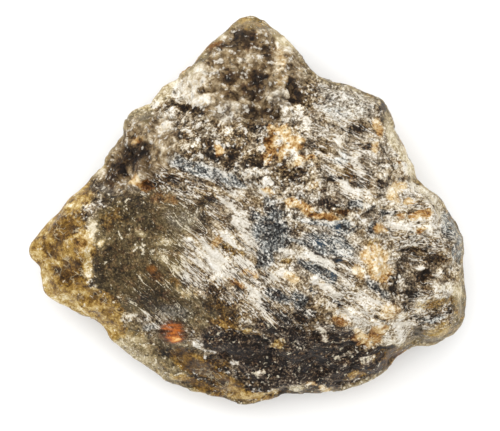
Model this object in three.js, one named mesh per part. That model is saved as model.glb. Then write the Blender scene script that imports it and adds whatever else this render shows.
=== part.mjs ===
// A raw, unpolished piece of labradorite feldspar: one solid, broken on all sides.
// It lies on a flat cleavage face, with its broad, streaked face up.
// Millimetres. +X runs along its length, +Y towards its pointed end, +Z up. The origin is the
// centre of its outline, on the surface that it rests on.
import * as THREE from "three";

const { clamp, degToRad, euclideanModulo, lerp, radToDeg, smoothstep } = THREE.MathUtils;

// ---------------------------------------------------------------- driving dimensions

const THICKNESS = 26; // height of the top over the base, about
const MIDDLE = new THREE.Vector2(0.5, -2.5); // every point of the outline is in sight of it
const RINGS = 28; // rings of vertices from the middle to the rim, on each side
const CROWDING = 0.6; // how far the rings crowd towards the rim, from 0 to 1

// The outline seen from above, clockwise from the pointed end.
const OUTLINE = [
  // the pointed end and its right flank, down to the shoulder
  [0.4, 27.4], [2.1, 26.9], [3.9, 25.6], [5.8, 23.6], [7.6, 21.6], [9.0, 19.7], [10.6, 18.4],
  // the upper right shoulder, and the nick under it
  [12.2, 17.9], [14.0, 17.5], [16.0, 16.8], [18.3, 15.9], [19.7, 15.0], [20.3, 13.2],
  [21.0, 10.7], [22.1, 8.5], [23.0, 6.7], [23.6, 4.2], [25.3, 2.8], [27.1, 1.7],
  // the blunt right end, and the shelf at its foot
  [28.2, -0.6], [29.6, -2.2], [30.4, -4.7], [30.5, -8.3], [30.8, -11.0], [30.7, -15.5],
  [29.4, -17.6], [26.9, -18.7], [23.3, -19.4],
  // the long curved side
  [21.2, -20.9], [18.7, -23.2], [16.0, -24.8], [11.9, -25.7], [10.1, -26.1], [5.6, -25.9],
  [3.3, -26.6], [1.1, -27.2], [-0.7, -27.4], [-3.4, -26.7], [-8.0, -25.7], [-10.7, -24.6],
  [-13.4, -22.8], [-17.0, -20.5], [-19.1, -18.2], [-20.6, -16.0],
  // the honey-coloured left end
  [-21.5, -15.3], [-24.3, -14.4], [-26.7, -13.0], [-28.6, -11.2], [-29.2, -9.2],
  [-29.5, -7.8], [-30.6, -6.5], [-30.7, -5.3], [-29.7, -3.8], [-27.9, -1.5],
  // the straight upper left side, with its two nubs
  [-25.2, 1.4], [-22.9, 3.5], [-20.6, 5.7], [-19.5, 8.0], [-17.7, 10.3], [-17.2, 12.1],
  [-16.1, 13.7], [-14.1, 14.6], [-12.0, 16.8], [-9.3, 18.9], [-7.1, 21.1], [-5.2, 23.2],
  [-2.5, 25.7], [-1.2, 26.9],
].map(([x, y]) => new THREE.Vector2(x, y));

// The rim, where the stone is widest, at bearings in degrees anticlockwise from +X: its height over
// the base, how far the side stands steeply above it and below it, and how steeply (rise over run)
// the stone rises inwards after that.
const RIM = [
  { bearing: 0, height: 12, above: 3.4, below: 4, rise: 1.0 },
  { bearing: 20, height: 13, above: 2.6, below: 3.4, rise: 0.9 },
  { bearing: 45, height: 12, above: 2.2, below: 3, rise: 0.85 },
  { bearing: 75, height: 11, above: 2, below: 2.4, rise: 1.0 },
  { bearing: 90, height: 10, above: 1.4, below: 3.2, rise: 1.25 },
  { bearing: 110, height: 11.5, above: 1.6, below: 2.6, rise: 0.95 },
  { bearing: 140, height: 12, above: 1.8, below: 3.4, rise: 1.0 },
  { bearing: 165, height: 10.5, above: 1.2, below: 2, rise: 0.85 },
  { bearing: 190, height: 9, above: 1.3, below: 1, rise: 0.75 },
  { bearing: 210, height: 8, above: 0.9, below: 1, rise: 0.85 },
  { bearing: 235, height: 6.5, above: 0.8, below: 1.4, rise: 1.15 },
  { bearing: 265, height: 6.5, above: 1.6, below: 2.6, rise: 1.3 },
  { bearing: 290, height: 7.5, above: 2.6, below: 3, rise: 1.5 },
  { bearing: 315, height: 8, above: 2.8, below: 2.6, rise: 1.4 },
  { bearing: 340, height: 10, above: 3.2, below: 3.6, rise: 1.3 },
];
const WALL = { narrowest: 0.5, widest: 2.6 }; // how far in from the rim the steep sides reach
const LEAST_EDGE = 0.3; // slope by which each side at least leaves the rim

// How far the rim wanders up and down, and by what share of themselves its steep sides vary.
const RIM_WANDER = [
  { size: 6, height: 1.1, layer: 6 },
  { size: 2.4, height: 0.5, layer: 2.4 },
];
const SIDES_VARY = { size: 3.6, share: 0.75 };

// The faces that bound the stone above, each through a point [x, y, z] with its slopes along X and Y.
const UPPER_FACES = {
  flatTop: { at: [5, -8, THICKNESS - 1], slope: [0.03, 0.1] },
  cleavageFace: { at: [-13, -5, 17.6], slope: [0.4, 0.16] },
  roughSlope: { at: [0, 5, 24.2], slope: [0.05, -0.56] },
  shoulder: { at: [8, 5, 24.8], slope: [-0.34, -0.4] },
  rightEnd: { at: [14, -5, 24], slope: [-0.42, 0.05] },
  darkFace: { at: [2, -16.4, 22.4], slope: [0.3, 1.35] },
};

// The faces under the stone: the bearing that each looks to, how far from the middle it starts to
// rise from the base plane, and its slope.
const LOWER_FACES = [
  { bearing: 8, start: 19, slope: 0.9 },
  { bearing: 44, start: 12.5, slope: 0.7 },
  { bearing: 84, start: 15, slope: 0.55 },
  { bearing: 134, start: 9.5, slope: 0.8 },
  { bearing: 180, start: 15, slope: 0.45 },
  { bearing: 222, start: 14, slope: 0.5 },
  { bearing: 268, start: 17, slope: 0.85 },
  { bearing: 312, start: 18.5, slope: 0.7 },
];
const LOWER_STEPS = { pitch: 3.2, share: 0.7 }; // cleavage steps in them, parallel to the base
const LOWER_ROUGH = 1.6; // the underside is as lumpy as the top from this height over the base up

// Steps in the upper side. Going along its points, the ground falls by drop to the right within
// the step's width, and comes back to the general slope over its reach.
const LEDGES = {
  blueBand: {
    line: [[-18, 8.6], [-13, 7.8], [-6.7, 6.3], [-1, 4], [3, 2.2], [6, 0.5]],
    drop: 1.2, width: 1.4, reach: 8,
  },
  honeyLip: {
    line: [[-23, -12], [-22.4, -9], [-22.6, -6], [-21.8, -3], [-22, -0.5], [-20.3, 1.4]],
    drop: 1.1, width: 1.4, reach: 5,
  },
  brow: {
    line: [[-7, -11.2], [-2.5, -14.5], [2, -16.2], [8, -16], [13, -17.6], [17.4, -19], [22, -19.2]],
    drop: 0.9, width: 1.3, reach: 5,
  },
  rightStep: {
    line: [[22.5, -19], [20.6, -15], [19.6, -10.5], [17.8, -5.5], [19.5, 0], [23, 3.8]],
    drop: 1.5, width: 1.4, reach: 9,
  },
  footShelf: {
    line: [[22.5, -19.4], [22.6, -13.6], [26, -12.4], [30.8, -11.8]],
    drop: 2.4, width: 1.5, reach: 14,
  },
  ironSeam: {
    line: [[6.5, 0.8], [10, -0.8], [14.5, -1.2], [19.5, 0.5]],
    drop: 0.8, width: 1.2, reach: 4,
  },
  paleScar: {
    line: [[-13.5, 14], [-9.5, 13.3], [-6, 12]],
    drop: 0.8, width: 1.1, reach: 3,
  },
  lowerLens: {
    line: [[-15, -17], [-9, -18.6], [-4, -19.4], [-1, -22]],
    drop: 0.9, width: 1.3, reach: 4,
  },
};

const LEDGE_TAPER = 4; // length over which a ledge dies out at its ends

// Lumps and hollows in the upper side: an ellipse's middle, its half lengths, its turn in degrees
// anticlockwise, and its height, which is negative in a hollow.
const LUMPS = {
  honeyEnd: { at: [-26, -5.5], half: [5, 7], turn: 0, height: 1.1 },
  leftNub: { at: [-15.2, 11.4], half: [3, 2.4], turn: 40, height: 0.9 },
  leftHollow: { at: [-17, 7.6], half: [2.6, 1.8], turn: 40, height: -0.9 },
  slit: { at: [6.6, 15.7], half: [2.8, 0.9], turn: -66, height: -1.5 },
  spineGroove: { at: [-0.2, 16.5], half: [7, 1.8], turn: 100, height: -0.9 },
  darkPit: { at: [0, 7.6], half: [4, 1.5], turn: -8, height: -0.7 },
  ochreKnot: { at: [5.4, 9.6], half: [3, 4.4], turn: 20, height: 0.7 },
  yellowKnot: { at: [17.4, -8.2], half: [2.6, 3], turn: 0, height: 0.7 },
  rightHollow: { at: [23.8, -7], half: [5.4, 3.6], turn: -15, height: -2.1 },
  paleLip: { at: [28, -10.4], half: [3, 2], turn: 10, height: 0.9 },
  middleTrough: { at: [4, -4.5], half: [5.5, 3], turn: -35, height: -0.7 },
  clearLens: { at: [-3.5, -15.2], half: [4.5, 2.4], turn: -20, height: 0.6 },
};
const LUMP_POWER = 1.2; // above 1, a lump's foot runs out softly

// Stretches that break in steps, one after another: the ellipse that each covers, the bearing that
// its steps run along, their pitch and their height.
const STEPPED = [
  { at: [2, -6], half: [14, 9], turn: -30, along: -40, pitch: 3.4, height: 0.6 },
  { at: [24.5, -3], half: [7, 8], turn: 0, along: -6, pitch: 2.7, height: 0.5 },
  { at: [12, 9], half: [9, 8], turn: -20, along: -24, pitch: 3.2, height: 0.45 },
  { at: [27, -15.8], half: [5, 3], turn: 0, along: 6, pitch: 2.1, height: 0.35 },
];
const TREAD = 0.8; // share of a step's pitch that its tread takes, the riser taking the rest
const STEP_WANDER = { size: 4, share: 0.7 }; // how the steps wander, as a share of their pitch

// Lumpiness all over: the size of the lumps and their height.
const LUMPINESS = [
  { size: 7, height: 0.9 },
  { size: 3.1, height: 0.55 },
  { size: 1.6, height: 0.25 },
];
const SMOOTH_PATCH = { at: [-14, -6.5], half: [9, 9], turn: 0 }; // the clean cleavage face
const CALM = 0.25; // share of the lumpiness that is left there
const RELIEF_MARGIN = 1.5; // the upper side's relief fades out over this distance to the rim
const CREASE = 0.35; // how far the creases between the upper faces are eased

// ---------------------------------------------------------------- noise

// A repeatable number from 0 to 1 for a point with whole coordinates.
function hash(i, j, k) {
  let h = Math.imul(i, 374761393) + Math.imul(j, 668265263) + Math.imul(k, 2147483586);
  h = Math.imul(h ^ (h >>> 13), 1274126177);
  h = Math.imul(h ^ (h >>> 16), 2246822519);
  return ((h ^ (h >>> 13)) >>> 0) / 2 ** 32;
}

// Smooth noise from -1 to 1, whose lumps are about one unit across.
function noise(x, y, z) {
  const [i, j, k] = [x, y, z].map(Math.floor);
  const [u, v, w] = [x - i, y - j, z - k].map((t) => t * t * (3 - 2 * t));
  const edge = (dj, dk) => lerp(hash(i, j + dj, k + dk), hash(i + 1, j + dj, k + dk), u);
  return 2 * lerp(lerp(edge(0, 0), edge(1, 0), v), lerp(edge(0, 1), edge(1, 1), v), w) - 1;
}

function lumpiness(x, y, z) {
  return LUMPINESS.reduce(
    (sum, { size, height }) => sum + height * noise(x / size, y / size, z / size),
    0,
  );
}

// ---------------------------------------------------------------- the outline

// How far a point is from the stretch from a to b, how far along it is (0 to 1), and its side.
function fromStretch(p, a, b) {
  const run = b.clone().sub(a);
  const to = p.clone().sub(a);
  const along = clamp(to.dot(run) / run.lengthSq(), 0, 1);
  const distance = to.clone().addScaledVector(run, -along).length();
  return { distance, along, side: Math.sign(-run.cross(to)) };
}

const stretches = OUTLINE.map((a, i) => [a, OUTLINE[(i + 1) % OUTLINE.length]]);

function distanceToOutline(p) {
  return Math.min(...stretches.map(([a, b]) => fromStretch(p, a, b).distance));
}

// The point a share of the way round the outline, measured along it.
const lengths = stretches.map(([a, b]) => a.distanceTo(b));
const perimeter = lengths.reduce((sum, length) => sum + length, 0);

function outlineAt(share) {
  let left = euclideanModulo(share, 1) * perimeter;
  let i = 0;
  while (left > lengths[i] && i < lengths.length - 1) left -= lengths[i++];
  return stretches[i][0].clone().lerp(stretches[i][1], left / lengths[i]);
}

// The rim's figures at a bearing, in degrees.
function rimAt(bearing) {
  const b = euclideanModulo(bearing, 360);
  const next = RIM.findIndex((r) => r.bearing > b);
  const to = next < 0 ? { ...RIM[0], bearing: 360 } : RIM[next];
  const from = next < 0 ? RIM[RIM.length - 1] : RIM[next - 1];
  const t = (b - from.bearing) / (to.bearing - from.bearing);
  return Object.fromEntries(Object.keys(from).map((key) => [key, lerp(from[key], to[key], t)]));
}

// The rim's figures next to a point, with its wander up and down and the wander of its sides.
function rimNear(p) {
  const rim = rimAt(radToDeg(Math.atan2(p.y - MIDDLE.y, p.x - MIDDLE.x)));
  const out = outlineAlong(p);
  const vary = (layer) => noise(out.x / SIDES_VARY.size, out.y / SIDES_VARY.size, layer);
  for (const { size, height, layer } of RIM_WANDER)
    rim.height += height * noise(out.x / size, out.y / size, layer);
  rim.above *= 1 + SIDES_VARY.share * vary(11);
  rim.below *= 1 + SIDES_VARY.share * vary(17);
  rim.wallAbove = lerp(WALL.narrowest, WALL.widest, (1 + vary(23)) / 2);
  rim.wallBelow = lerp(WALL.narrowest, WALL.widest, (1 + vary(29)) / 2);
  return rim;
}

// The outline's point on the line from the middle through p.
function outlineAlong(p) {
  const ray = p.clone().sub(MIDDLE);
  if (ray.lengthSq() === 0) ray.set(1, 0);
  for (const [a, b] of stretches) {
    const run = b.clone().sub(a);
    const across = ray.cross(run);
    const start = a.clone().sub(MIDDLE);
    const reach = start.cross(run) / across;
    const share = start.cross(ray) / across;
    if (reach > 0 && share >= 0 && share <= 1) return MIDDLE.clone().addScaledVector(ray, reach);
  }
  return p.clone();
}

// ---------------------------------------------------------------- relief

// How deep p lies in an ellipse: 1 in its middle, 0 on its edge and beyond.
function within(p, { at, half, turn }) {
  const q = p.clone().sub(new THREE.Vector2(...at)).rotateAround(new THREE.Vector2(), -degToRad(turn));
  return Math.max(0, 1 - (q.x / half[0]) ** 2 - (q.y / half[1]) ** 2);
}

function lumpHeight(p) {
  return Object.values(LUMPS).reduce((sum, l) => sum + l.height * within(p, l) ** LUMP_POWER, 0);
}

// A ledge lowers the ground on the right of its line, most of all close to it, and dies out
// towards both ends.
function ledgeHeight(p, { line, drop, width, reach }) {
  const points = line.map(([x, y]) => new THREE.Vector2(x, y));
  let passed = 0;
  let nearest = { distance: Infinity };
  for (let i = 0; i < points.length - 1; i++) {
    const here = fromStretch(p, points[i], points[i + 1]);
    const length = points[i].distanceTo(points[i + 1]);
    if (here.distance < nearest.distance) nearest = { ...here, run: passed + here.along * length };
    passed += length;
  }
  const toAnEnd = Math.min(nearest.run, passed - nearest.run);
  const fall = smoothstep(nearest.side * nearest.distance, -width / 2, width / 2);
  const fade = 1 - smoothstep(nearest.distance, 0, reach);
  return -drop * (fall - 0.5) * fade * smoothstep(toAnEnd, 0, LEDGE_TAPER);
}

// Broken steps: treads that tilt back a little, each ending in a sharp riser.
function steppedHeight(p, stretch) {
  const { along, pitch, height } = stretch;
  const across = new THREE.Vector2(0, 1).rotateAround(new THREE.Vector2(), degToRad(along));
  const { size, share } = STEP_WANDER;
  const wander = share * noise(p.x / size, p.y / size, along);
  const phase = euclideanModulo(p.dot(across) / pitch + wander, 1);
  const down = phase / TREAD;
  const up = (phase - TREAD) / (1 - TREAD);
  return height * (phase < TREAD ? 0.5 - down : up - 0.5) * Math.sqrt(within(p, stretch));
}

// ---------------------------------------------------------------- the two sides

// The least of some heights, with the creases between them eased a little.
const easedLeast = (heights, ease) =>
  -ease * Math.log(heights.reduce((sum, h) => sum + Math.exp(-h / ease), 0));

function upperHeight(p) {
  const edge = distanceToOutline(p);
  const rim = rimNear(p);
  const faces = Object.values(UPPER_FACES).map(
    ({ at, slope }) => at[2] + slope[0] * (p.x - at[0]) + slope[1] * (p.y - at[1]),
  );
  const flank = rim.height + rim.above * smoothstep(edge, 0, rim.wallAbove) + rim.rise * edge;
  const general = easedLeast([...faces, flank], CREASE);
  const calm = lerp(1, CALM, Math.sqrt(within(p, SMOOTH_PATCH)));
  const relief =
    lumpHeight(p) +
    Object.values(LEDGES).reduce((sum, ledge) => sum + ledgeHeight(p, ledge), 0) +
    STEPPED.reduce((sum, stretch) => sum + steppedHeight(p, stretch), 0) +
    calm * lumpiness(p.x, p.y, general);
  const height = general + relief * smoothstep(edge, 0, RELIEF_MARGIN);
  return Math.max(height, rim.height + LEAST_EDGE * edge);
}

// A height partly broken into steps parallel to the base.
function inSteps(height, { pitch, share }) {
  const phase = euclideanModulo(height / pitch, 1);
  return height + share * pitch * (smoothstep(phase, 0.3, 0.9) - phase);
}

function lowerHeight(p) {
  const edge = distanceToOutline(p);
  const rim = rimNear(p);
  const q = p.clone().sub(MIDDLE);
  const rises = LOWER_FACES.map(({ bearing, start, slope }) => {
    const out = new THREE.Vector2(1, 0).rotateAround(new THREE.Vector2(), degToRad(bearing));
    return slope * (q.dot(out) - start);
  });
  const general = Math.max(0, ...rises);
  const roughness = smoothstep(general, 0, LOWER_ROUGH);
  const rough = inSteps(general, LOWER_STEPS) + roughness * lumpiness(p.x, p.y, -general);
  const wall = rim.below * smoothstep(edge, 0, rim.wallBelow) + LEAST_EDGE * edge;
  return clamp(rough, 0, rim.height - wall);
}

// ---------------------------------------------------------------- the solid

// Vertices lie in rings round the middle, 6 more in each ring than in the one inside it, on the
// upper side and again on the lower side. The two sides share the ring on the rim.
const ringStart = (ring) => 1 + 3 * ring * (ring - 1);
const SIDE_VERTICES = ringStart(RINGS); // inside the rim, on each side

// Rings stand closer together towards the rim, where the sides are steep.
const ringReach = (ring) => {
  const t = ring / RINGS;
  return lerp(t, Math.sin((t * Math.PI) / 2), CROWDING);
};

function planOf(ring, step) {
  if (ring === 0) return MIDDLE.clone();
  return MIDDLE.clone().lerp(outlineAt(-step / (6 * ring)), ringReach(ring));
}

// A vertex's number. The rim's ring comes after the insides of both sides.
function vertexNumber(side, ring, step) {
  if (ring === 0) return side * SIDE_VERTICES;
  const number = ringStart(ring) + euclideanModulo(step, 6 * ring);
  return ring === RINGS ? SIDE_VERTICES + number : side * SIDE_VERTICES + number;
}

function vertices() {
  const found = [];
  for (const height of [upperHeight, lowerHeight]) {
    for (let ring = 0; ring < RINGS; ring++) {
      for (let step = 0; step < Math.max(1, 6 * ring); step++) {
        const p = planOf(ring, step);
        found.push(p.x, p.y, height(p));
      }
    }
  }
  for (let step = 0; step < 6 * RINGS; step++) {
    const p = planOf(RINGS, step);
    found.push(p.x, p.y, rimNear(p).height);
  }
  return new Float32Array(found);
}

// The triangles between two rings, in the six sectors of the disc. The lower side's are turned over.
function triangles() {
  const found = [];
  for (const side of [0, 1]) {
    const add = (a, b, c) => found.push(...(side === 0 ? [a, b, c] : [a, c, b]));
    for (let ring = 1; ring <= RINGS; ring++) {
      for (let step = 0; step < 6 * ring; step++) {
        const sector = Math.floor(step / ring);
        const inner = step - sector;
        add(
          vertexNumber(side, ring - 1, inner),
          vertexNumber(side, ring, step),
          vertexNumber(side, ring, step + 1),
        );
        if (step % ring !== ring - 1)
          add(
            vertexNumber(side, ring - 1, inner),
            vertexNumber(side, ring, step + 1),
            vertexNumber(side, ring - 1, inner + 1),
          );
      }
    }
  }
  return found;
}

function stoneGeometry() {
  const geometry = new THREE.BufferGeometry();
  geometry.setAttribute("position", new THREE.BufferAttribute(vertices(), 3));
  geometry.setIndex(triangles());
  geometry.computeBoundingBox();
  const { min, max } = geometry.boundingBox;
  geometry.translate(-(min.x + max.x) / 2, -(min.y + max.y) / 2, -min.z);
  geometry.computeVertexNormals();
  return geometry;
}

const labradorite = new THREE.Mesh(
  stoneGeometry(),
  new THREE.MeshStandardMaterial({ color: 0x8f8674, roughness: 0.55, metalness: 0, flatShading: true }),
);
labradorite.name = "labradorite";

const part = new THREE.Group();
part.add(labradorite);

export default part;
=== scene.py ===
"""A raw piece of labradorite: the broken surface and the colours of the CAD stone.

Lengths are in millimetres until the mesh is written, in metres. The stone's frame is the CAD's:
+X towards its blunt end, +Y towards its pointed end, +Z up out of its broad streaked face.
"""
import math

import bpy
import numpy as np
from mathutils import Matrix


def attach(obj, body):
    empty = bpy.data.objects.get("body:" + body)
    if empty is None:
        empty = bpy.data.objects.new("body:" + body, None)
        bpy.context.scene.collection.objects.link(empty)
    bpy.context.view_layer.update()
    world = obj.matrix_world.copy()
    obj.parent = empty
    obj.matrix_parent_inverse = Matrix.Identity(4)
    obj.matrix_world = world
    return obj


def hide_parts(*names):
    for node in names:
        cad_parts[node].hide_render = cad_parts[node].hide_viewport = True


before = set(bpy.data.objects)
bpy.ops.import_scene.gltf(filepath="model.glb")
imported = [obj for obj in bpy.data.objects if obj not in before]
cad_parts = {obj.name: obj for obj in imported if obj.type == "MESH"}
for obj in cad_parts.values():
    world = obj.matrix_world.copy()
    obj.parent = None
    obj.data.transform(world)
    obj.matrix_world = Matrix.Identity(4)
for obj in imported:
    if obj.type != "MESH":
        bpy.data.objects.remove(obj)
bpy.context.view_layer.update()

MM = 0.001
STONE = "labradorite"

# ---------- sizes and places

VOXEL = 0.32  # side of the remeshed surface's squares
SMOOTHING = 6  # rounds of smoothing over the CAD's facets
BASE_MARGIN = (0.1, 1.2)  # heights between which the relief grows from nothing to its full depth
SIDE_SWELL = 0.25  # how far out the sides are set, which the smoothing drew in
SIDE_RELIEF = 0.6  # how deep the relief is on upright faces, beside its depth on level ones
LEVEL_BAND = (0.1, 0.6)  # how far a face turns up or down to be upright, and to be level
WORN = 0.85  # how much of the relief is worn off the smooth faces
LUMP_SIZE = 3.4  # of the lumps on the honey-coloured parts
LUMP_HEIGHT = 0.45
ROUGHNESS_SIZE = 5.0  # of the areas that are more broken than others
FULLNESS = 1.35  # of the patches below; at this they fade from half-way out
WANDER = [(3.2, 0.5), (0.9, 0.35)]  # waves that make their edges ragged, as (size, how far they reach)

# Broken facets, as (size across, slope).
BLOCKS = (3.6, 0.22)  # these are everywhere
CHIPS = (1.7, 0.26)  # these and the crumbs are where the grain has no direction
CRUMBS = (0.9, 0.26)
SHARDS = (1.3, 0.28)  # these and the splinters run along the grain
SPLINTERS = (0.8, 0.26)
SHARD_STRETCH = 3.0  # how many times as long as wide they are
SPLINTER_STRETCH = 5.0

# How far a face turns up, from -1 to 1, where one look gives way to the next.
RIM_BAND = (-0.9, -0.45)  # the underside's to the upper side's
WALL_BAND = (0.0, 0.35)  # the sides' to that of the patches drawn on the top
STEEP_BAND = (0.15, 0.6)  # the weathered skin's to the broken top's
RIM_BLEND = 14  # rounds of averaging before the turn of a face is read
SURROUNDINGS = 8  # rounds of averaging that give the height about a point
FULLY_RAISED = 0.08  # how far above that a point stands for the full mark "raised", which paints light on raised points and shade in sunk ones
WALL_FADE = 0.8  # how far the patches fade on the sides
GLASSY_FADE = 0.3  # and how far those of glass and honey do
WALL_CLOUDS = 0.7  # how much of the underside's clouds shows on the sides
WEATHERED_SKIN_AND_RIM_LIGHT = {"glass": 0.8, "honey": 0.25, "tone": 0.35}  # what the weathered skin of the steep rims adds to the marks; its added tone is painted light, the thin edges lit through

MARKS = ["tone", "white", "glass", "coarse", "ochre", "slate", "honey", "dark_face_and_shade", "copper_sheen", "blue_sheen"]

# On the underside the marks lie in clouds: (cloud where the mark begins, cloud where it is full,
# its strength there).
UNDERSIDE = {
    "white": (0.2, 0.8, 0.5), "ochre": (0.25, 0.7, 1), "slate": (0.1, 0.6, 1), "honey": (0.3, 0.8, 1),
    "glass": (-0.1, 0.5, 1), "coarse": (-0.5, 0.5, 1),
}
CLOUD_SIZE = 7.0
CLOUD_SHAPE = (1, 1, 1.5)  # how many times smaller they are along X, Y and Z
CLOUD_TONE = 0.7  # how much lighter the underside is in the middle of a cloud
UNDERSIDE_TONE = -0.3

# Small swellings of the sides, as (x, y, radius, height).
SWELLINGS = [
    (-28.6, -11.8, 4, 0.5), (-1.6, -27.4, 3.4, 0.45), (3.6, -26.8, 2, 0.3), (19, -23.2, 5, 0.4),
    (6, 23.6, 4, 0.25), (-11.6, 17.4, 2.6, 0.35), (-19.8, 7.6, 1.6, 0.35), (-19.8, -17.6, 3, 0.25),
    (30.9, -12.6, 3, 0.2), (-30.6, -6.2, 1.4, 0.2), (-29.8, -8.4, 1, -0.35), (-17.5, 10.6, 1.2, -0.2),
]

# Directions that the crystal's grain runs in, in degrees anticlockwise from +X, with the ellipses
# (x, y, half length, half width, turn) where each shows. Elsewhere the grain has no direction.
GRAIN = {
    "band": (-25, [(-7, 2, 13, 5, -16), (14, 10, 7, 6, 0), (15, 4, 6, 4, -30)]),
    "slanted": (-40, [(-4.5, -6.5, 11, 9, -41), (-12, -13, 8, 5, -30), (3, -12.5, 10, 4.5, -35)]),
    "sheared": (-28, [(11.5, -6.5, 6.5, 6.5, -20), (16, -14, 6, 4, -10)]),
    "level": (-4, [(24, -2, 8, 8, 0), (26, -14, 6, 6, 0)]),
}
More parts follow.
